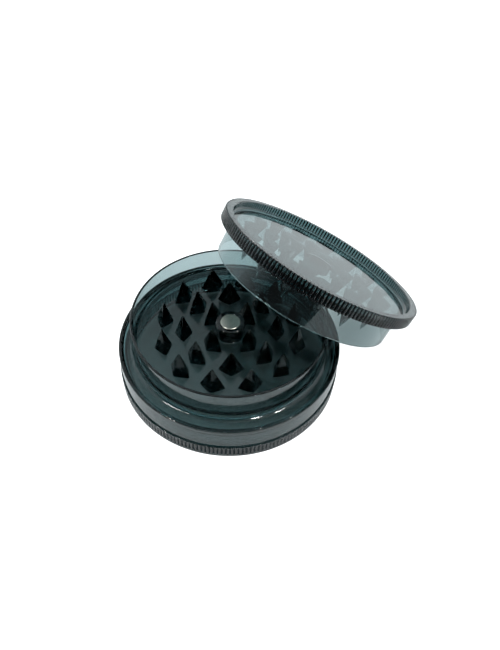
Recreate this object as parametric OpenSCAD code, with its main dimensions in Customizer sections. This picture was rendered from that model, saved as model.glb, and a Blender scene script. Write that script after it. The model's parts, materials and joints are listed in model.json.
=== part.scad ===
// Two-stage hand grinder for dried herbs in clear smoke-grey plastic: a storage cap below,
// a body with the toothed chamber on it, and a toothed lid that leans against the open body.
// Millimetres, +Z up, origin at the centre of the storage cap's underside.

/* [Overall] */
// Diameter over the ribs of the storage cap and of the lid
overall_d = 90; // [80:1:110]
// Height of the body's outer rim above the table
body_rim_z = 16.5; // [15:0.1:20]
// Height of the chamber's rim above the table
chamber_rim_z = 29.8; // [28:0.1:36]

/* [Storage cap] */
// Height of the ribbed grip band
cap_grip_h = 6.3; // [5:0.1:8]
// Wall of the grip band from the rib tips inwards
cap_grip_wall = 3.8; // [3.2:0.1:5]
// Thickness of the cap's floor
cap_floor_t = 1.6; // [1.2:0.1:2.5]
// Wall of the threaded neck that stands inside the body
cap_neck_wall = 1.2; // [1:0.1:1.8]
// Height of the neck above the grip band
cap_neck_h = 6.2; // [4:0.1:7]

/* [Body] */
// Step from the rib tips in to the body's outer wall
body_step = 0.5; // [0.3:0.1:1.5]
// Thickness of the body's outer wall
body_wall = 1.5; // [1.2:0.1:2.2]
// Width of the open channel between the outer wall and the chamber
channel_w = 4.3; // [3.5:0.1:8]
// Depth of the channel below the body's outer rim
channel_depth = 0.9; // [0.6:0.1:2]
// Thickness of the channel's floor
flange_t = 1.5; // [1.2:0.1:2.2]
// Thickness of the chamber's wall
chamber_wall_t = 1.0; // [0.8:0.1:1.6]
// Thickness of the chamber's floor
chamber_floor_t = 1.6; // [1.2:0.1:2.2]

/* [Teeth] */
// Height of every tooth
tooth_h = 10; // [6:0.1:12]
// Length of a tooth's base along its ring
tooth_len = 9.8; // [7:0.1:12]
// Clear width between the post and the bases of the first ring of teeth
post_gap = 0.48; // [0.3:0.01:3]
// Clear width between the bases of two rings on one piece
ring_gap = 1.6; // [1:0.1:3]
// Clear width between the lid's outer ring and the chamber's wall when shut
edge_gap = 2.7; // [2:0.1:5]
// Gap between a tooth's tip and the floor or plate that it faces when shut
tip_gap = 0.4; // [0.3:0.1:1]

/* [Magnets] */
// Diameter of the magnet discs
magnet_d = 8; // [5:0.5:9]
// Thickness of the magnet discs
magnet_t = 3; // [2:0.5:4]
// Diameter of the post and of the lid's boss that hold the magnets
post_d = 11.8; // [10.5:0.1:13]
// Height of the lid's boss
boss_h = 3.6; // [3.5:0.1:5]
// Gap between the two magnets when shut
magnet_gap = 0.4; // [0.3:0.1:1.5]

/* [Lid] */
// Height of the lid's ribbed rim
lid_rim_h = 5.1; // [4.5:0.1:7]
// Width of the flat top of the rim
lid_rim_w = 3.5; // [3:0.1:5]
// Depth of the recess inside the rim
lid_well_depth = 3.3; // [2.5:0.1:4]
// Thickness of the lid's plate
lid_plate_t = 1.6; // [1.2:0.1:2.2]
// Wall of the skirt that drops round the chamber
lid_skirt_wall = 1.0; // [0.8:0.1:1.5]
// Gap between the skirt and the channel's floor when shut
skirt_foot_gap = 1.4; // [1:0.1:3]

/* [Leaning lid] */
// Tilt of the lid from level
lean_tilt = 32.6; // [28:0.1:38]
// Compass direction in which the lid leans out, anticlockwise from +X
lean_azimuth = 37; // [0:0.5:90]
// Distance of the lid's centre outside the chamber's wall
lean_reach = 8.9; // [8:0.1:20]
// Turn of the lid about its own axis
lid_spin = 0; // [-30:0.5:30]
// Gap between the lid's lowest edge and the table
table_gap = 0.4; // [0.1:0.1:1]

/* [Fits] */
// Clearance all round between pieces that slide over each other
slide_fit = 0.3; // [0.2:0.05:0.6]
// Gap between the cap's grip band and the body's foot when screwed home
seat_gap = 0.1; // [0.05:0.05:0.5]
// Radial clearance between a magnet and its pocket
magnet_fit = 0.05; // [0.02:0.01:0.1]
// Turn of the chamber's teeth about the vertical axis
chamber_spin = 1.9; // [-15:0.1:15]

/* [Hidden] */
$fn = 96;
smoke = [0.24, 0.31, 0.34, 0.6];
smoke_dark = [0.08, 0.12, 0.14, 0.8];
nickel = [0.72, 0.71, 0.67];
tip_share = 0.05;          // blunt tip of a tooth, as a share of its base
grip_chamfer = 0.5;
wall_chamfer = 0.4;        // on the upper and lower outer edges of the body's wall
post_chamfer = 0.5;
cut_over = 1;              // how far a cutting shape runs past the face that it opens
CHAMBER_TEETH = [4, 8, 12];
LID_TEETH = [6, 10, 15];
CHAMBER_PHASE = [45, 0, 15];
LID_PHASE = [-1, 10.2, -1.9];

overall_r = overall_d / 2;
body_r = overall_r - body_step;
body_bore_r = body_r - body_wall;
neck_r = body_bore_r - slide_fit;
neck_bore_r = neck_r - cap_neck_wall;
grip_bore_r = overall_r - cap_grip_wall;
neck_top_z = cap_grip_h + cap_neck_h;
body_foot_z = cap_grip_h + seat_gap;
flange_top_z = body_rim_z - channel_depth;
flange_foot_z = flange_top_z - flange_t;
chamber_r = body_bore_r - channel_w;
chamber_bore_r = chamber_r - chamber_wall_t;
chamber_floor_z = chamber_rim_z - tooth_h - tip_gap;
post_h = chamber_rim_z - boss_h - magnet_gap - chamber_floor_z;
post_top_z = chamber_floor_z + post_h;
// Teeth of both pieces share the radius between the post and the edge gap, half a pitch apart
tooth_w = (chamber_bore_r - edge_gap - post_d / 2 - post_gap - 2.5 * ring_gap) / 3.5;
ring_pitch = tooth_w + ring_gap;
first_ring_r = post_d / 2 + post_gap + tooth_w / 2;
lid_well_r = overall_r - lid_rim_w;
plate_foot = lid_well_depth + lid_plate_t;            // depth of the plate's underside below the lid's top
skirt_bore_r = chamber_r + slide_fit;
skirt_r = skirt_bore_r + lid_skirt_wall;
skirt_foot = plate_foot + chamber_rim_z - flange_top_z - skirt_foot_gap;
lean_z = table_gap + max(skirt_r * sin(lean_tilt) + skirt_foot * cos(lean_tilt),
                         overall_r * sin(lean_tilt) + lid_rim_h * cos(lean_tilt));
lean_out = chamber_r + lean_reach;

// A flat ring between two radii
module ring(r_out, r_in, z0, z1) {
    translate([0, 0, z0])
        difference() {
            cylinder(r = r_out, h = z1 - z0);
            translate([0, 0, -cut_over]) cylinder(r = r_in, h = z1 - z0 + 2 * cut_over);
        }
}

// A ring whose outer edges are chamfered, above and below
module chamfered_ring(r_out, r_in, z0, z1, c_low, c_high) {
    rotate_extrude()
        polygon([[r_in, z0], [r_out - c_low, z0], [r_out, z0 + c_low],
                 [r_out, z1 - c_high], [r_out - c_high, z1], [r_in, z1]]);
}

// One tooth: a four-sided pyramid on a rhombus, its long diagonal along the ring
module tooth() {
    linear_extrude(height = tooth_h, scale = tip_share)
        polygon([[tooth_w / 2, 0], [0, tooth_len / 2], [-tooth_w / 2, 0], [0, -tooth_len / 2]]);
}

module tooth_ring(count, r, phase) {
    for (k = [0 : count - 1])
        rotate([0, 0, phase + k * 360 / count]) translate([r, 0, 0]) tooth();
}

// Puts a shape drawn under the lid's top face, level at z = 0, into the leaning place
module leaning() {
    rotate([0, 0, lean_azimuth])
        translate([lean_out, 0, lean_z])
            rotate([0, lean_tilt, 0])
                rotate([0, 0, lid_spin - lean_azimuth])
                    children();
}

module cap_floor() {
    color(smoke_dark) cylinder(r = grip_bore_r, h = cap_floor_t);
}

module cap_grip_ring() {
    color(smoke_dark) chamfered_ring(overall_r, grip_bore_r, 0, cap_grip_h, grip_chamfer, grip_chamfer);
}

module cap_neck() {
    color(smoke) ring(neck_r, neck_bore_r, cap_grip_h, neck_top_z);
}

module body_outer_wall() {
    color(smoke) chamfered_ring(body_r, body_bore_r, body_foot_z, body_rim_z, wall_chamfer, wall_chamfer);
}

module body_flange() {
    color(smoke) ring(body_bore_r, chamber_r, flange_foot_z, flange_top_z);
}

module chamber_wall() {
    color(smoke) ring(chamber_r, chamber_bore_r, flange_foot_z, chamber_rim_z);
}

module chamber_floor() {
    color(smoke_dark)
        translate([0, 0, chamber_floor_z - chamber_floor_t]) cylinder(r = chamber_bore_r, h = chamber_floor_t);
}

module magnet_post() {
    color(smoke_dark)
        difference() {
            translate([0, 0, chamber_floor_z])
                chamfered_ring(post_d / 2, 0, 0, post_h, 0, post_chamfer);
            translate([0, 0, post_top_z - magnet_t])
                cylinder(r = magnet_d / 2 + magnet_fit, h = magnet_t + cut_over);
        }
}

module chamber_ring(i) {
    color(smoke_dark)
        translate([0, 0, chamber_floor_z])
            tooth_ring(CHAMBER_TEETH[i], first_ring_r + i * ring_pitch, CHAMBER_PHASE[i] + chamber_spin);
}

module chamber_teeth_inner() { chamber_ring(0); }
module chamber_teeth_middle() { chamber_ring(1); }
module chamber_teeth_outer() { chamber_ring(2); }

module post_magnet() {
    color(nickel) translate([0, 0, post_top_z - magnet_t]) cylinder(d = magnet_d, h = magnet_t);
}

module lid_rim() {
    color(smoke_dark)
        leaning() chamfered_ring(overall_r, lid_well_r, -lid_rim_h, 0, grip_chamfer, grip_chamfer);
}

module lid_plate() {
    color(smoke) leaning() translate([0, 0, -plate_foot]) cylinder(r = lid_well_r, h = lid_plate_t);
}

module lid_skirt() {
    color(smoke) leaning() ring(skirt_r, skirt_bore_r, -skirt_foot, -plate_foot);
}

module lid_boss() {
    color(smoke)
        leaning()
            difference() {
                translate([0, 0, -plate_foot - boss_h]) cylinder(d = post_d, h = boss_h);
                translate([0, 0, -plate_foot - boss_h - cut_over])
                    cylinder(r = magnet_d / 2 + magnet_fit, h = magnet_t + cut_over);
            }
}

module lid_ring(i) {
    color(smoke_dark)
        leaning()
            translate([0, 0, -plate_foot])
                mirror([0, 0, 1])
                    tooth_ring(LID_TEETH[i], first_ring_r + (i + 0.5) * ring_pitch, LID_PHASE[i]);
}

module lid_teeth_inner() { lid_ring(0); }
module lid_teeth_middle() { lid_ring(1); }
module lid_teeth_outer() { lid_ring(2); }

module lid_magnet() {
    color(nickel) leaning() translate([0, 0, -plate_foot - boss_h]) cylinder(d = magnet_d, h = magnet_t);
}

cap_floor();
cap_grip_ring();
cap_neck();
body_outer_wall();
body_flange();
chamber_wall();
chamber_floor();
magnet_post();
chamber_teeth_inner();
chamber_teeth_middle();
chamber_teeth_outer();
post_magnet();
lid_rim();
lid_plate();
lid_skirt();
lid_boss();
lid_teeth_inner();
lid_teeth_middle();
lid_teeth_outer();
lid_magnet();
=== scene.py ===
"""Clear smoke-grey hand grinder, open, with its lid leaning against the toothed body.

Laid out as an add-on: sizes and colours are properties, each moulding and the stage has an
operator, and main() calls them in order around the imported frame.
"""
import json
import math

import bpy
import numpy as np
from mathutils import Matrix


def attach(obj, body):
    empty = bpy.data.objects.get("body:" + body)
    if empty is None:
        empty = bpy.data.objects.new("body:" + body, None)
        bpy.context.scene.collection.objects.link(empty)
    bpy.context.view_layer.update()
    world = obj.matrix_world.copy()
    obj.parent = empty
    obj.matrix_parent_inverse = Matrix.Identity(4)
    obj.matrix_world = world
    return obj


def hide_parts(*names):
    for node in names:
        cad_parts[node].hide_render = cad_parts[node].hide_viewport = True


bl_info = {
    "name": "Smoke-grey herb grinder",
    "version": (1, 0, 0),
    "blender": (4, 5, 0),
    "location": "View3D > Sidebar > Grinder",
    "description": "Builds a clear plastic hand grinder around its packed frame",
    "category": "Object",
}

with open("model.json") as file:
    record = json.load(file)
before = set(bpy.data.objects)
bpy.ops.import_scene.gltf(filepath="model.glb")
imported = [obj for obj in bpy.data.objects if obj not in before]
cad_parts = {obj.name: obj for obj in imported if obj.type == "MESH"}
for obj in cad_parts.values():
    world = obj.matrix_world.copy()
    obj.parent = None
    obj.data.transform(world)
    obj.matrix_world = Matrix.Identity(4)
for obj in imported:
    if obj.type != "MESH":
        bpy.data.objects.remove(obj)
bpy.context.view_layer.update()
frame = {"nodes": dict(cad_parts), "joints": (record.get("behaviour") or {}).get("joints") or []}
MM = 0.001

SAME_PLACE = 0.01 * MM          # corners closer than this in height count as level
TOOTH_JOINT = 0.02 * MM         # air between a tooth's foot and the floor or plate it stands on
CREST_SHARE = 0.45              # flat top of a rib, as a share of the way from crest to groove
GROOVE_RUN_OUT = 0.6 * MM       # height over which a groove fades out at its ends
RIBBED_BAND = 0.9 * MM          # outermost part of the radius, the only part that ribs cut
BAND_FADE = 0.6 * MM            # part of that band over which the cut grows to its full depth
SHADED_CUT = 0.3                # faces cut deeper than this share take the painted groove shade
STEPS_PER_RIB = 8
BODY_STEPS = 360
MAGNET_STEPS = 96
MAGNET_ROUND = 0.25 * MM
TOOTH_STEPS = 32
TOOTH_SHARP = 1.12              # 1 is a plain rhombus, 2 an ellipse
TOOTH_RISE = (0.0, 0.05, 0.5, 0.93, 0.96, 0.98, 0.992)        # stations up a tooth, 1 at its tip
TOOTH_SHARE = (1.0, 0.9525, 0.53, 0.115, 0.082, 0.05, 0.022)  # section at each, 1 at the foot
CAP_STATIONS_LOW = (0.9, 1.0, 1.15, 1.4, 1.6)                 # mm above the table
CAP_STATIONS_HIGH = (1.2, 1.0, 0.75, 0.6, 0.5)                # mm below the grip band's top

# middle of the painted lid shadow on the table
LID_SHADE_AT = (58 * MM, 15 * MM, 0.0)
TABLE_HALF = 3.0
TABLE_DROP = 0.08 * MM          # keeps the table from lying in the plane of the cap's underside
CAMERA_AT = (0.0, -0.1491, 0.1920)
LOOK_AT = (0.00798, 0.00345, 0.020)
CAMERA_ROLL = 3.32
SENSOR = 36.0
LENS = 31.4
SOFT_LIGHTS = (                 # name, place, size, watts
    ("window_pane_near", (0.27, -0.54, 0.42), (0.11, 0.07), 2.2),
    ("window_pane_far", (0.47, -0.38, 0.42), (0.11, 0.07), 2.2),
    ("softbox_left", (-0.50, -0.38, 0.42), (0.30, 0.07), 1.3),
)


# ---------------------------------------------------------------- the frame's own measures

def node_points(name):
    """All corners of a CAD node as an n by 3 array, in metres."""
    if name not in frame["nodes"]:
        raise RuntimeError(f"the frame has no node {name}")
    mesh = frame["nodes"][name].data
    points = np.zeros(len(mesh.vertices) * 3)
    mesh.vertices.foreach_get("co", points)
    return points.reshape(-1, 3)


def widest(points):
    """The largest distance of the points from the upright axis."""
    return float(np.hypot(points[:, 0], points[:, 1]).max())


def narrowest(points):
    """The smallest distance of the points from the upright axis."""
    return float(np.hypot(points[:, 0], points[:, 1]).min())


def lid_placement():
    """The 4 by 4 matrix that puts a lid drawn level, its top face at zero, into its leaning place.

    The lid's axis is the axis that it lifts along. The turn is the shortest one from upright to
    that axis, and the centre is the middle of the rim's top face.
    """
    axes = [joint["axis"] for joint in frame["joints"] if joint["name"] == "lid_lift"]
    if not axes:
        raise RuntimeError("the frame has no joint lid_lift")
    axis = np.array(axes[0], float)
    axis /= np.linalg.norm(axis)
    side = np.cross([0.0, 0.0, 1.0], axis)
    skew = np.array([[0, -side[2], side[1]], [side[2], 0, -side[0]], [-side[1], side[0], 0]])
    turn = np.eye(3) + skew + skew @ skew / (1 + axis[2])
    rim = node_points("lid_rim") @ turn
    middle = (rim.min(0) + rim.max(0)) / 2
    middle[2] = rim[:, 2].max()
    place = np.eye(4)
    place[:3, :3] = turn
    place[:3, 3] = turn @ middle
    return place


LID_PLACE = lid_placement()


def level(points):
    """Points of the leaning lid, carried back to the level lid."""
    return (points - LID_PLACE[:3, 3]) @ LID_PLACE[:3, :3]


def tooth_tips(points, tip_z):
    """Ring radius and angles of the tips in a ring of teeth, read from the corners at the tips."""
    tips = points[np.abs(points[:, 2] - tip_z) < SAME_PLACE]
    angles = np.sort(np.degrees(np.arctan2(tips[:, 1], tips[:, 0])) % 360)
    new_tip = np.diff(angles, prepend=angles[-1] - 360) > 6
    groups = np.cumsum(new_tip)
    if not new_tip[0]:
        groups[groups == 0] = groups[-1]
        angles = np.where((groups == groups[-1]) & (angles < 180), angles + 360, angles)
    middles = [angles[groups == g].mean() for g in np.unique(groups)]
    return float(np.hypot(tips[:, 0], tips[:, 1]).mean()), np.radians(middles)


# ---------------------------------------------------------------- mesh making

def outline(corners, steps=3):
    """A profile of (radius, height) points with its corners rounded.

    Each corner is (radius, height, rounding). A rounded corner becomes an arc that touches both
    of its sides: the arc's points are the corner's two touching points blended by a quadratic
    curve towards the corner, which is near a true arc for the small roundings used here.
    """
    points = []
    count = len(corners)
    for i, (r, z, rounding) in enumerate(corners):
        here = np.array([r, z])
        if rounding == 0:
            points.append(here)
            continue
        before = np.array(corners[i - 1][:2]) - here
        after = np.array(corners[(i + 1) % count][:2]) - here
        reach = min(rounding, 0.48 * np.linalg.norm(before), 0.48 * np.linalg.norm(after))
        start = here + before / np.linalg.norm(before) * reach
        end = here + after / np.linalg.norm(after) * reach
        t = np.linspace(0, 1, steps + 1)[:, None]
        middle = 0.35 * here + 0.325 * (start + end)
        points.extend((1 - t) ** 2 * start + 2 * t * (1 - t) * middle + t ** 2 * end)
    return np.array(points)


def groove_cut(across):
    """Cut between flat-topped ribs: none over the crest's share of the way, then a V."""
    return np.clip((across - CREST_SHARE) / (1 - CREST_SHARE), 0, 1)


def rib_cut(radius, height, turn, ribs):
    """How deep the grooves between ribs cut into the outer face, as a share of their depth.

    It is the groove's share at the angle's place between crest and groove. It fades out at the
    grooves' foot and top, and inside the outermost band of radius.
    """
    across = np.abs((ribs["count"] * turn / (2 * np.pi) + 0.5) % 1 - 0.5) * 2
    run_out = np.clip((height - ribs["foot"]) / GROOVE_RUN_OUT, 0, 1)
    run_out = run_out * np.clip((ribs["top"] - height) / GROOVE_RUN_OUT, 0, 1)
    fade = np.clip((radius - (radius.max() - RIBBED_BAND)) / BAND_FADE, 0, 1)
    return groove_cut(across) * run_out * fade


def turned(name, profile, segments, ribs=None):
    """A solid of revolution: point (i, j) is profile point j at angle 2 pi i / segments.

    The profile starts and ends on the axis, and a single point closes it at each end. Faces whose
    corners are cut deeply enough on average take the second material, the painted groove shade.
    """
    turn = np.linspace(0, 2 * np.pi, segments, endpoint=False)[:, None]
    radius = np.broadcast_to(profile[:, 0], (segments, len(profile)))
    cut = np.zeros(radius.shape)
    if ribs:
        cut = rib_cut(radius, profile[:, 1], turn, ribs)
        radius = radius - ribs["depth"] * cut
    grid = np.stack([radius * np.cos(turn), radius * np.sin(turn),
                     np.broadcast_to(profile[:, 1], radius.shape)], -1)
    inner = grid[:, 1:-1].reshape(-1, 3)
    poles = np.array([[0, 0, profile[0, 1]], [0, 0, profile[-1, 1]]])
    width = len(profile) - 2
    i = np.arange(segments)[:, None]
    j = np.arange(width - 1)[None, :]
    nxt = (i + 1) % segments
    quads = np.stack([i * width + j, nxt * width + j, nxt * width + j + 1, i * width + j + 1], -1)
    first, last = len(inner), len(inner) + 1
    ring = np.arange(segments)
    after = (ring + 1) % segments
    start_fan = np.stack([np.full(segments, first), after * width, ring * width], -1)
    rim = width - 1
    end_fan = np.stack([np.full(segments, last), ring * width + rim, after * width + rim], -1)
    quads = quads.reshape(-1, 4)
    piece = mesh_object(name, np.concatenate([inner, poles]),
                        quads.tolist() + start_fan.tolist() + end_fan.tolist())
    # faces deep in a groove take the second slot, the painted groove shade
    shaded = cut[:, 1:-1].ravel()[quads].mean(1) > SHADED_CUT
    slots = np.concatenate([shaded, np.zeros(2 * segments)]).astype(int)
    piece.data.polygons.foreach_set("material_index", slots)
    return piece


def mesh_object(name, points, faces):
    """An object in the scene from points and faces, its faces turned outwards."""
    mesh = bpy.data.meshes.new(name)
    mesh.from_pydata(points.tolist(), [], faces)
    if mesh.validate():
        raise RuntimeError(f"{name} had faces or edges that Blender had to mend")
    thing = bpy.data.objects.new(name, mesh)
    bpy.context.scene.collection.objects.link(thing)
    if signed_volume(mesh) < 0:
        mesh.flip_normals()
    return thing


def signed_volume(mesh):
    """Sum over triangles of a corner dotted with the cross product of the other two, over six."""
    mesh.calc_loop_triangles()
    points = np.zeros(len(mesh.vertices) * 3)
    mesh.vertices.foreach_get("co", points)
    corners = np.zeros(len(mesh.loop_triangles) * 3, int)
    mesh.loop_triangles.foreach_get("vertices", corners)
    a, b, c = points.reshape(-1, 3)[corners.reshape(-1, 3)].transpose(1, 0, 2)
    return float(np.einsum("ij,ij->", a, np.cross(b, c))) / 6


def tooth_ring(name, radius, angles, foot_z, tip_z, length, width):
    """A ring of teeth as one object of separate closed solids.

    A tooth's section is a rhombus with rounded corners: the point at angle a lies where the
    absolute cosine and sine of a, each over its half diagonal and raised to the sharpness, add
    up to one. The section shrinks in a straight line up the tooth, and the last steps draw the
    tip round.
    """
    around = np.linspace(0, 2 * np.pi, TOOTH_STEPS, endpoint=False)
    reach = (np.abs(np.cos(around)) ** TOOTH_SHARP + np.abs(np.sin(around)) ** TOOTH_SHARP) ** (-1 / TOOTH_SHARP)
    section = np.stack([width / 2 * reach * np.cos(around), length / 2 * reach * np.sin(around)], -1)
    rise = np.array(TOOTH_RISE)
    flat = section[None] * np.array(TOOTH_SHARE)[:, None, None]
    height = np.broadcast_to((foot_z + rise * (tip_z - foot_z))[:, None, None], (*flat.shape[:2], 1))
    tooth = np.concatenate([flat, height], -1).reshape(-1, 3)
    tooth = np.concatenate([tooth, [[0, 0, foot_z], [0, 0, tip_z]]])

    k = np.arange(TOOTH_STEPS)
    n = (k + 1) % TOOTH_STEPS
    foot, tip, top = len(tooth) - 2, len(tooth) - 1, (len(rise) - 1) * TOOTH_STEPS
    rows = np.arange(len(rise) - 1)[:, None] * TOOTH_STEPS
    sides = np.stack([rows + k, rows + n, rows + TOOTH_STEPS + n, rows + TOOTH_STEPS + k], -1).reshape(-1, 4)
    foot_fan = np.stack([np.full(TOOTH_STEPS, foot), n, k], -1)
    tip_fan = np.stack([np.full(TOOTH_STEPS, tip), top + k, top + n], -1)

    points, faces = [], []
    for i, angle in enumerate(angles):
        cos, sin = np.cos(angle), np.sin(angle)
        x, y = tooth[:, 0] + radius, tooth[:, 1]
        points.append(np.stack([x * cos - y * sin, x * sin + y * cos, tooth[:, 2]], -1))
        for part in (sides, foot_fan, tip_fan):
            faces += (part + i * len(tooth)).tolist()
    return mesh_object(name, np.concatenate(points), faces)


def finished(piece, materials, place=None, crease=28):
    """Gives a piece its place, smooth shading with creases and its materials."""
    if place is not None:
        points = np.zeros(len(piece.data.vertices) * 3)
        piece.data.vertices.foreach_get("co", points)
        points = points.reshape(-1, 3) @ place[:3, :3].T + place[:3, 3]
        piece.data.vertices.foreach_set("co", points.ravel())
    piece.data.shade_smooth()
    piece.data.set_sharp_from_angle(angle=math.radians(crease))
    for material in materials:
        piece.data.materials.append(material)
    piece.data.update()
    return piece


# ---------------------------------------------------------------- materials

def linear(hex_colour):
    """Linear RGBA from an sRGB hex colour."""
    parts = [int(hex_colour[i:i + 2], 16) / 255 for i in (1, 3, 5)]
    return tuple(c / 12.92 if c <= 0.04045 else ((c + 0.055) / 1.055) ** 2.4 for c in parts) + (1.0,)


def add_node(tree, kind, links=None, **settings):
    """Adds a node. Settings are its properties or inputs, links the sockets that feed its inputs."""
    node = tree.nodes.new(kind)
    for key, value in settings.items():
        if hasattr(node, key):
            setattr(node, key, value)
        else:
            node.inputs[key.replace("_", " ")].default_value = value
    for key, source in (links or {}).items():
        tree.links.new(source, node.inputs[key])
    return node


def blank_material(name):
    """A material with an empty node tree, and that tree."""
    material = bpy.data.materials.new(name)
    material.use_nodes = True
    tree = material.node_tree
    tree.nodes.clear()
    return material, tree


def smoke_acrylic(name, colours, density):
    """Injection-moulded smoke acrylic: polished, clear, tinted through its whole thickness.

    Thin walls read pale blue-grey because the tint is in the volume, and thick teeth read near black
    from their thickness and from the denser tint they are given as painted shade.
    Moulding leaves faint flow waves a few millimetres apart and handling leaves a fine haze.
    """
    material, tree = blank_material(name)
    place = add_node(tree, "ShaderNodeTexCoord")
    haze = add_node(tree, "ShaderNodeTexNoise", {"Vector": place.outputs["Object"]},
                    Scale=180.0, Detail=3.0, Roughness=0.6)
    rough = add_node(tree, "ShaderNodeMapRange", {"Value": haze.outputs["Fac"]},
                     To_Min=0.01, To_Max=0.045)
    waves = add_node(tree, "ShaderNodeTexNoise", {"Vector": place.outputs["Object"]},
                     Scale=120.0, Detail=1.0)
    bump = add_node(tree, "ShaderNodeBump", {"Height": waves.outputs["Fac"]},
                    Strength=0.12, Distance=0.0002)
    skin = add_node(tree, "ShaderNodeBsdfPrincipled",
                    {"Roughness": rough.outputs["Result"], "Normal": bump.outputs["Normal"]},
                    IOR=1.49)
    skin.inputs["Base Color"].default_value = linear("#FFFFFF")
    skin.inputs["Transmission Weight"].default_value = 1.0
    depth = add_node(tree, "ShaderNodeVolumeAbsorption", Density=density)
    depth.inputs["Color"].default_value = (*colours.tint, 1.0)
    add_node(tree, "ShaderNodeOutputMaterial",
             {"Surface": skin.outputs["BSDF"], "Volume": depth.outputs["Volume"]})
    return material


def nickel_plate():
    """Nickel-plated magnet disc: satin, slightly warm, with fine tumbling scratches."""
    material, tree = blank_material("Nickel-plated magnet, tumbled")
    place = add_node(tree, "ShaderNodeTexCoord")
    grain = add_node(tree, "ShaderNodeTexNoise", {"Vector": place.outputs["Object"]},
                     Scale=2600.0, Detail=4.0, Roughness=0.7)
    rough = add_node(tree, "ShaderNodeMapRange", {"Value": grain.outputs["Fac"]},
                     To_Min=0.14, To_Max=0.32)
    bump = add_node(tree, "ShaderNodeBump", {"Height": grain.outputs["Fac"]},
                    Strength=0.25, Distance=0.00003)
    skin = add_node(tree, "ShaderNodeBsdfPrincipled",
                    {"Roughness": rough.outputs["Result"], "Normal": bump.outputs["Normal"]},
                    Metallic=1.0)
    skin.inputs["Base Color"].default_value = linear("#B9B7AC")
    add_node(tree, "ShaderNodeOutputMaterial", {"Surface": skin.outputs["BSDF"]})
    return material


def white_sweep():
    """Matt white table whose glow is painted light and painted shade, plain white to the eye.

    The glow, which no lamp gives, rises from a little under the object, more of it to the front, to
    its full strength at 45 mm from the middle: the weaker glow under the object is painted shade,
    darker towards the back. It is dimmer still where the leaning lid would shade the table, a
    painted lid shadow. Seen directly it gets a further even glow, so that soft shadows on it show
    only in the plastic.
    """
    material, tree = blank_material("Matt white table, painted glow and shade")
    place = add_node(tree, "ShaderNodeTexCoord")
    reach = add_node(tree, "ShaderNodeVectorMath", {0: place.outputs["Object"]}, operation="LENGTH")
    front = add_node(tree, "ShaderNodeVectorMath", {0: place.outputs["Object"]},
                     operation="DOT_PRODUCT")
    front.inputs[1].default_value = (-0.5, -0.87, 0)
    # painted shade under the object: the lowest glow, darker towards the back
    under = add_node(tree, "ShaderNodeMapRange", {"Value": front.outputs["Value"]},
                     From_Min=-15 * MM, From_Max=32 * MM, To_Min=0.02, To_Max=0.27)
    glow = add_node(tree, "ShaderNodeMapRange",
                    {"Value": reach.outputs["Value"], "To Min": under.outputs["Result"]},
                    From_Min=39 * MM, From_Max=45 * MM, To_Max=0.5)
    from_shade = add_node(tree, "ShaderNodeVectorMath", {0: place.outputs["Object"]},
                          operation="DISTANCE")
    from_shade.inputs[1].default_value = LID_SHADE_AT
    # painted lid shadow: the glow falls to 0.3 round the lid's spot
    shade = add_node(tree, "ShaderNodeMapRange", {"Value": from_shade.outputs["Value"]},
                     From_Min=8 * MM, From_Max=26 * MM, To_Min=0.3, To_Max=1.0)
    glow = add_node(tree, "ShaderNodeMath",
                    {0: glow.outputs["Result"], 1: shade.outputs["Result"]}, operation="MULTIPLY")
    seen = add_node(tree, "ShaderNodeLightPath")
    even = add_node(tree, "ShaderNodeMath",
                    {0: seen.outputs["Is Camera Ray"], 2: glow.outputs["Value"]},
                    operation="MULTIPLY_ADD")
    even.inputs[1].default_value = 0.8
    skin = add_node(tree, "ShaderNodeBsdfPrincipled", {"Emission Strength": even.outputs["Value"]},
                    Roughness=0.9)
    skin.inputs["Specular IOR Level"].default_value = 0.0
    skin.inputs["Base Color"].default_value = linear("#F0F0F0")
    skin.inputs["Emission Color"].default_value = linear("#FFFFFF")
    add_node(tree, "ShaderNodeOutputMaterial", {"Surface": skin.outputs["BSDF"]})
    return material


def studio_world(colours):
    """White backdrop all round, a dimmer ceiling and a dark room low down in front.

    The backdrop's light falls to the ceiling's share as a direction's height goes from 0.2 to
    0.75. The room's share takes over where the direction's dot product with the front, low down,
    goes from 0.1 to 0.6. The camera itself sees plain white past the edge of the table.
    """
    world = bpy.data.worlds.new("Lit backdrop and dark room")
    world.use_nodes = True
    tree = world.node_tree
    tree.nodes.clear()
    place = add_node(tree, "ShaderNodeTexCoord")
    axes = add_node(tree, "ShaderNodeSeparateXYZ", {0: place.outputs["Generated"]})
    ceiling = add_node(tree, "ShaderNodeMapRange", {"Value": axes.outputs["Z"]},
                       From_Min=0.2, From_Max=0.75,
                       To_Min=colours.light, To_Max=colours.light * colours.ceiling)
    facing = add_node(tree, "ShaderNodeVectorMath", {0: place.outputs["Generated"]},
                      operation="DOT_PRODUCT")
    facing.inputs[1].default_value = (-0.25, -0.97, -0.5)
    room = add_node(tree, "ShaderNodeMapRange", {"Value": facing.outputs["Value"]},
                    From_Min=0.1, From_Max=0.6, To_Min=1.0, To_Max=colours.room)
    lit = add_node(tree, "ShaderNodeMath",
                   {0: ceiling.outputs["Result"], 1: room.outputs["Result"]}, operation="MULTIPLY")
    seen = add_node(tree, "ShaderNodeLightPath")
    chosen = add_node(tree, "ShaderNodeMix",
                      {"Factor": seen.outputs["Is Camera Ray"], "A": lit.outputs["Value"]}, B=1.2)
    back = add_node(tree, "ShaderNodeBackground", {"Strength": chosen.outputs["Result"]})
    back.inputs["Color"].default_value = linear("#E6F6FB")
    add_node(tree, "ShaderNodeOutputWorld", {"Surface": back.outputs["Background"]})
    return world


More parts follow.
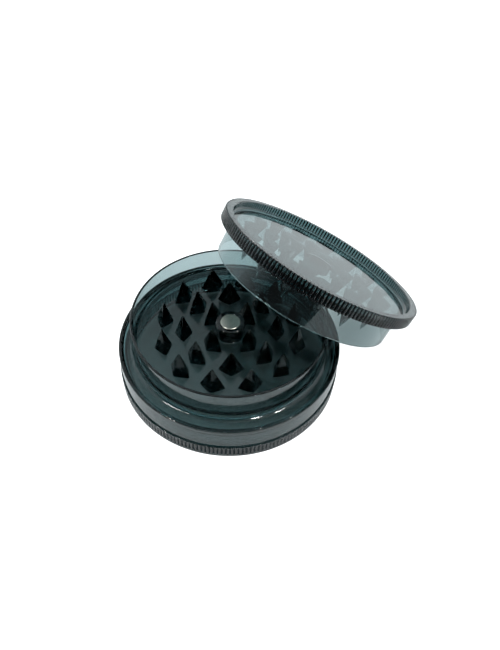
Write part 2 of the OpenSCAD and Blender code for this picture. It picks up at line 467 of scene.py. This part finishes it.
def painted_groove_shade(name, shade):
    """Painted groove shade: an opaque dark surface in the rib grooves, standing in for the light they trap."""
    material, tree = blank_material(name)
    skin = add_node(tree, "ShaderNodeBsdfPrincipled", Roughness=0.3)
    skin.inputs["Base Color"].default_value = linear(shade)
    add_node(tree, "ShaderNodeOutputMaterial", {"Surface": skin.outputs["BSDF"]})
    return material


def clear_plastic(colours):
    """The clear plastic that the three mouldings share."""
    name = "Injection-moulded smoke acrylic"
    return bpy.data.materials.get(name) or smoke_acrylic(name, colours, colours.tint_density)


def tooth_shade_plastic(colours):
    """The same plastic in the teeth with a denser tint: painted shade that keeps the thick teeth near black."""
    name = "Injection-moulded smoke acrylic, painted tooth shade"
    return bpy.data.materials.get(name) or smoke_acrylic(name, colours, colours.tooth_density)


# ---------------------------------------------------------------- properties

class GrinderSizes(bpy.types.PropertyGroup):
    ribs: bpy.props.IntProperty(
        name="Ribs", description="Ribs round each grip band", default=184, subtype="UNSIGNED")
    lid_rib_depth: bpy.props.FloatProperty(
        name="Lid rib depth", description="Depth of the groove between two lid ribs",
        default=0.75 * MM, unit="LENGTH")
    cap_rib_depth: bpy.props.FloatProperty(
        name="Cap rib depth", description="Depth of the groove between two cap ribs",
        default=0.6 * MM, unit="LENGTH")
    edge_round: bpy.props.FloatProperty(
        name="Edge rounding", description="Rounding on moulded edges",
        default=0.35 * MM, unit="LENGTH")
    neck_wall: bpy.props.FloatProperty(
        name="Neck wall", description="Wall of the cap's neck", default=1.2 * MM, unit="LENGTH")
    tooth_length: bpy.props.FloatProperty(
        name="Tooth length", description="Length of a tooth's foot along its ring",
        default=9.8 * MM, unit="LENGTH")
    tooth_width: bpy.props.FloatProperty(
        name="Tooth width", description="Width of a tooth's foot across its ring",
        default=7.0 * MM, unit="LENGTH")


class GrinderColours(bpy.types.PropertyGroup):
    tint: bpy.props.FloatVectorProperty(
        name="Tint", description="Colour that the plastic lets through, in linear light",
        subtype="COLOR", size=3, min=0, max=1, default=(0.065, 0.306, 0.323))
    tint_density: bpy.props.FloatProperty(
        name="Tint density", description="How fast the tint darkens with depth, per metre",
        default=740.0, subtype="UNSIGNED")
    # a denser tint than the walls': painted shade that keeps the teeth near black
    tooth_density: bpy.props.FloatProperty(
        name="Tooth tint density", description="Tint density in the thick teeth, per metre",
        default=1500.0, subtype="UNSIGNED")
    light: bpy.props.FloatProperty(
        name="Light", description="Brightness of the white surroundings",
        default=1.5, subtype="UNSIGNED")
    ceiling: bpy.props.FloatProperty(
        name="Ceiling", description="Brightness of the ceiling, as a share of the surroundings",
        default=0.55, subtype="FACTOR")
    room: bpy.props.FloatProperty(
        name="Room", description="Brightness of the room in front, as a share of the surroundings",
        default=0.08, subtype="FACTOR")


# ---------------------------------------------------------------- the pieces

class GRINDER_OT_storage_cap(bpy.types.Operator):
    """Shallow cup with a ribbed grip band and a neck that stands inside the body"""
    bl_idname = "grinder.storage_cap"
    bl_label = "Storage cap"

    def execute(self, context):
        sizes, colours = context.scene.grinder_sizes, context.scene.grinder_colours
        grip, neck, floor = (node_points(n) for n in ("cap_grip_ring", "cap_neck", "cap_floor"))
        r, grip_top = widest(grip), grip[:, 2].max()
        neck_r, neck_top = widest(neck), neck[:, 2].max()
        cup_r, floor_top = widest(floor), floor[:, 2].max()
        e = sizes.edge_round
        heights = [z * MM for z in CAP_STATIONS_LOW] + [grip_top - z * MM for z in CAP_STATIONS_HIGH]
        stations = [(r, z, 0) for z in heights]
        ribs = {"count": sizes.ribs, "depth": sizes.cap_rib_depth, "foot": heights[0], "top": heights[-1]}
        profile = outline([
            (0, 0, 0), (r, 0, 1.2 * e), *stations, (r, grip_top, 0.8 * e),
            (neck_r, grip_top, 0.5 * e), (neck_r, neck_top, e),
            (neck_r - sizes.neck_wall, neck_top, e), (cup_r, grip_top, e),
            (cup_r, floor_top, 4 * e), (0, floor_top, 0)])
        cap = turned("storage_cap", profile, sizes.ribs * STEPS_PER_RIB, ribs)
        # painted shade in the cap's rib grooves, a dark grey
        grooves = painted_groove_shade("Painted groove shade, cap", "#2C3638")
        finished(cap, [clear_plastic(colours), grooves])
        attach(cap, "cap")
        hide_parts("cap_floor", "cap_grip_ring", "cap_neck")
        return {"FINISHED"}


class GRINDER_OT_body(bpy.types.Operator):
    """Outer wall, channel, chamber, post and three rings of teeth, as one moulding"""
    bl_idname = "grinder.body"
    bl_label = "Body"

    def execute(self, context):
        sizes, colours = context.scene.grinder_sizes, context.scene.grinder_colours
        e = sizes.edge_round
        shell, flange, wall, floor, post = (node_points(n) for n in (
            "body_outer_wall", "body_flange", "chamber_wall", "chamber_floor", "magnet_post"))
        shell_r, shell_foot, shell_top = widest(shell), shell[:, 2].min(), shell[:, 2].max()
        bore_r, flange_foot, flange_top = widest(flange), flange[:, 2].min(), flange[:, 2].max()
        wall_r, wall_top = widest(wall), wall[:, 2].max()
        chamber_r, floor_foot, floor_top = widest(floor), floor[:, 2].min(), floor[:, 2].max()
        post_r, post_top = widest(post), post[:, 2].max()
        pocket_r = narrowest(post[post[:, 2] > post_top - SAME_PLACE])
        pocket_foot = node_points("post_magnet")[:, 2].min()
        profile = outline([
            (0, floor_foot, 0), (chamber_r, floor_foot, e), (chamber_r, flange_foot, e),
            (bore_r, flange_foot, 2 * e), (bore_r, shell_foot, e), (shell_r, shell_foot, e),
            (shell_r, shell_top, e), (bore_r, shell_top, e), (bore_r, flange_top, 2 * e),
            (wall_r, flange_top, 4 * e), (wall_r, wall_top, 0.8 * e), (chamber_r, wall_top, 0.8 * e),
            (chamber_r, floor_top, 2 * e), (post_r, floor_top, 1.5 * e), (post_r, post_top, 1.5 * e),
            (pocket_r, post_top, 0.5 * e), (pocket_r, pocket_foot, 0), (0, pocket_foot, 0)])
        body = turned("body_moulding", profile, BODY_STEPS)
        for name in ("chamber_teeth_inner", "chamber_teeth_middle", "chamber_teeth_outer"):
            points = node_points(name)
            tip_z = points[:, 2].max()
            radius, angles = tooth_tips(points, tip_z)
            ring = tooth_ring(name + "_cut", radius, angles, floor_top + TOOTH_JOINT, tip_z,
                              sizes.tooth_length, sizes.tooth_width)
            finished(ring, [tooth_shade_plastic(colours)])
            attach(ring, "body")
            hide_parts(name)
        finished(body, [clear_plastic(colours)])
        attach(body, "body")
        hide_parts("body_outer_wall", "body_flange", "chamber_wall", "chamber_floor", "magnet_post")
        return {"FINISHED"}


class GRINDER_OT_lid(bpy.types.Operator):
    """Ribbed rim, recessed plate, skirt, boss and three rings of hanging teeth, as one moulding"""
    bl_idname = "grinder.lid"
    bl_label = "Lid"

    def execute(self, context):
        sizes, colours = context.scene.grinder_sizes, context.scene.grinder_colours
        e = sizes.edge_round
        rim, plate, skirt, boss, magnet = (level(node_points(n)) for n in (
            "lid_rim", "lid_plate", "lid_skirt", "lid_boss", "lid_magnet"))
        rim_r, rim_foot = widest(rim), rim[:, 2].min()
        well_r, well_z, plate_foot = widest(plate), plate[:, 2].max(), plate[:, 2].min()
        skirt_r, skirt_foot = widest(skirt), skirt[:, 2].min()
        skirt_bore = narrowest(skirt)
        boss_r, boss_foot = widest(boss), boss[:, 2].min()
        pocket_r, pocket_top = narrowest(boss[boss[:, 2] < boss_foot + SAME_PLACE]), magnet[:, 2].max()
        profile = outline([
            (0, well_z, 0), (well_r, well_z, 2 * e), (well_r, 0, e), (rim_r, 0, 1.2 * e),
            (rim_r, rim_foot, 1.2 * e), (skirt_r, rim_foot, 1.5 * e), (skirt_r, skirt_foot, e),
            (skirt_bore, skirt_foot, e), (skirt_bore, plate_foot, 2 * e), (boss_r, plate_foot, e),
            (boss_r, boss_foot, e), (pocket_r, boss_foot, 0.5 * e), (pocket_r, pocket_top, 0),
            (0, pocket_top, 0)])
        ribs = {"count": sizes.ribs, "depth": sizes.lid_rib_depth,
                "foot": rim_foot - GROOVE_RUN_OUT, "top": GROOVE_RUN_OUT}
        lid = turned("lid_moulding", profile, sizes.ribs * STEPS_PER_RIB, ribs)
        for name in ("lid_teeth_inner", "lid_teeth_middle", "lid_teeth_outer"):
            points = level(node_points(name))
            tip_z = points[:, 2].min()
            radius, angles = tooth_tips(points, tip_z)
            ring = tooth_ring(name + "_cut", radius, angles, plate_foot - TOOTH_JOINT, tip_z,
                              sizes.tooth_length, sizes.tooth_width)
            finished(ring, [tooth_shade_plastic(colours)], LID_PLACE)
            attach(ring, "lid")
            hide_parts(name)
        # painted shade in the lid's rib grooves, near black
        grooves = painted_groove_shade("Painted groove shade, lid", "#060A0B")
        finished(lid, [clear_plastic(colours), grooves], LID_PLACE)
        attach(lid, "lid")
        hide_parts("lid_rim", "lid_plate", "lid_skirt", "lid_boss")
        return {"FINISHED"}


class GRINDER_OT_magnets(bpy.types.Operator):
    """The two magnet discs with rounded edges, one in the post and one in the lid's boss"""
    bl_idname = "grinder.magnets"
    bl_label = "Magnets"

    def execute(self, context):
        plating = nickel_plate()
        for node, body, place in (
                ("post_magnet", "magnet", np.eye(4)), ("lid_magnet", "lid", LID_PLACE)):
            points = (node_points(node) - place[:3, 3]) @ place[:3, :3]
            r, foot, top = widest(points), points[:, 2].min(), points[:, 2].max()
            profile = outline([(0, foot, 0), (r, foot, MAGNET_ROUND), (r, top, MAGNET_ROUND), (0, top, 0)])
            disc = turned(node + "_disc", profile, MAGNET_STEPS)
            finished(disc, [plating], place)
            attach(disc, body)
            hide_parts(node)
        return {"FINISHED"}


class GRINDER_OT_stage(bpy.types.Operator):
    """White sweep, white surroundings, soft lights and the camera"""
    bl_idname = "grinder.stage"
    bl_label = "Stage"

    def execute(self, context):
        colours = context.scene.grinder_colours
        corners = [(x * TABLE_HALF, y * TABLE_HALF, -TABLE_DROP)
                   for x, y in ((-1, -1), (1, -1), (1, 1), (-1, 1))]
        sweep = mesh_object("sweep", np.array(corners), [[0, 1, 2, 3]])
        sweep.data.materials.append(white_sweep())

        context.scene.world = studio_world(colours)
        context.scene.view_settings.view_transform = "Standard"

        for name, spot, size, power in SOFT_LIGHTS:
            data = bpy.data.lights.new(name, "AREA")
            data.shape = "RECTANGLE"
            data.size, data.size_y = size
            data.energy = power
            lamp = bpy.data.objects.new(name, data)
            context.scene.collection.objects.link(lamp)
            lamp.visible_diffuse = False
            aim(lamp, np.array(spot), np.array(LOOK_AT))

        data = bpy.data.cameras.new("camera")
        data.sensor_width = SENSOR
        data.lens = LENS
        data.clip_start = 0.01
        camera = bpy.data.objects.new("camera", data)
        context.scene.collection.objects.link(camera)
        aim(camera, np.array(CAMERA_AT), np.array(LOOK_AT), math.radians(CAMERA_ROLL))
        context.scene.camera = camera
        return {"FINISHED"}


def aim(thing, spot, target, roll=0.0):
    """Stands a camera or lamp at a spot, facing the target, with its top turned by the roll."""
    forward = (target - spot) / np.linalg.norm(target - spot)
    right = np.cross(forward, [0.0, 0.0, 1.0])
    right /= np.linalg.norm(right)
    top = np.cross(right, forward)
    place = np.eye(4)
    place[:3, 0] = right * math.cos(roll) + top * math.sin(roll)
    place[:3, 1] = top * math.cos(roll) - right * math.sin(roll)
    place[:3, 2] = -forward
    place[:3, 3] = spot
    thing.matrix_world = Matrix(place.tolist())


class GRINDER_PT_panel(bpy.types.Panel):
    """Lists the grinder's pieces in the sidebar"""
    bl_label = "Grinder"
    bl_idname = "GRINDER_PT_panel"
    bl_space_type = "VIEW_3D"
    bl_region_type = "UI"
    bl_category = "Grinder"

    def draw(self, context):
        for operator in OPERATORS:
            self.layout.operator(operator.bl_idname)


OPERATORS = (GRINDER_OT_storage_cap, GRINDER_OT_body, GRINDER_OT_lid, GRINDER_OT_magnets,
             GRINDER_OT_stage)
CLASSES = (GrinderSizes, GrinderColours, *OPERATORS, GRINDER_PT_panel)


def register():
    for cls in CLASSES:
        bpy.utils.register_class(cls)
    bpy.types.Scene.grinder_sizes = bpy.props.PointerProperty(type=GrinderSizes)
    bpy.types.Scene.grinder_colours = bpy.props.PointerProperty(type=GrinderColours)


def unregister():
    del bpy.types.Scene.grinder_colours
    del bpy.types.Scene.grinder_sizes
    for cls in reversed(CLASSES):
        bpy.utils.unregister_class(cls)


def main():
    """Registers the classes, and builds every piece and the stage."""
    register()
    bpy.ops.grinder.storage_cap()
    bpy.ops.grinder.body()
    bpy.ops.grinder.lid()
    bpy.ops.grinder.magnets()
    bpy.ops.grinder.stage()


if __name__ == "__main__":
    main()
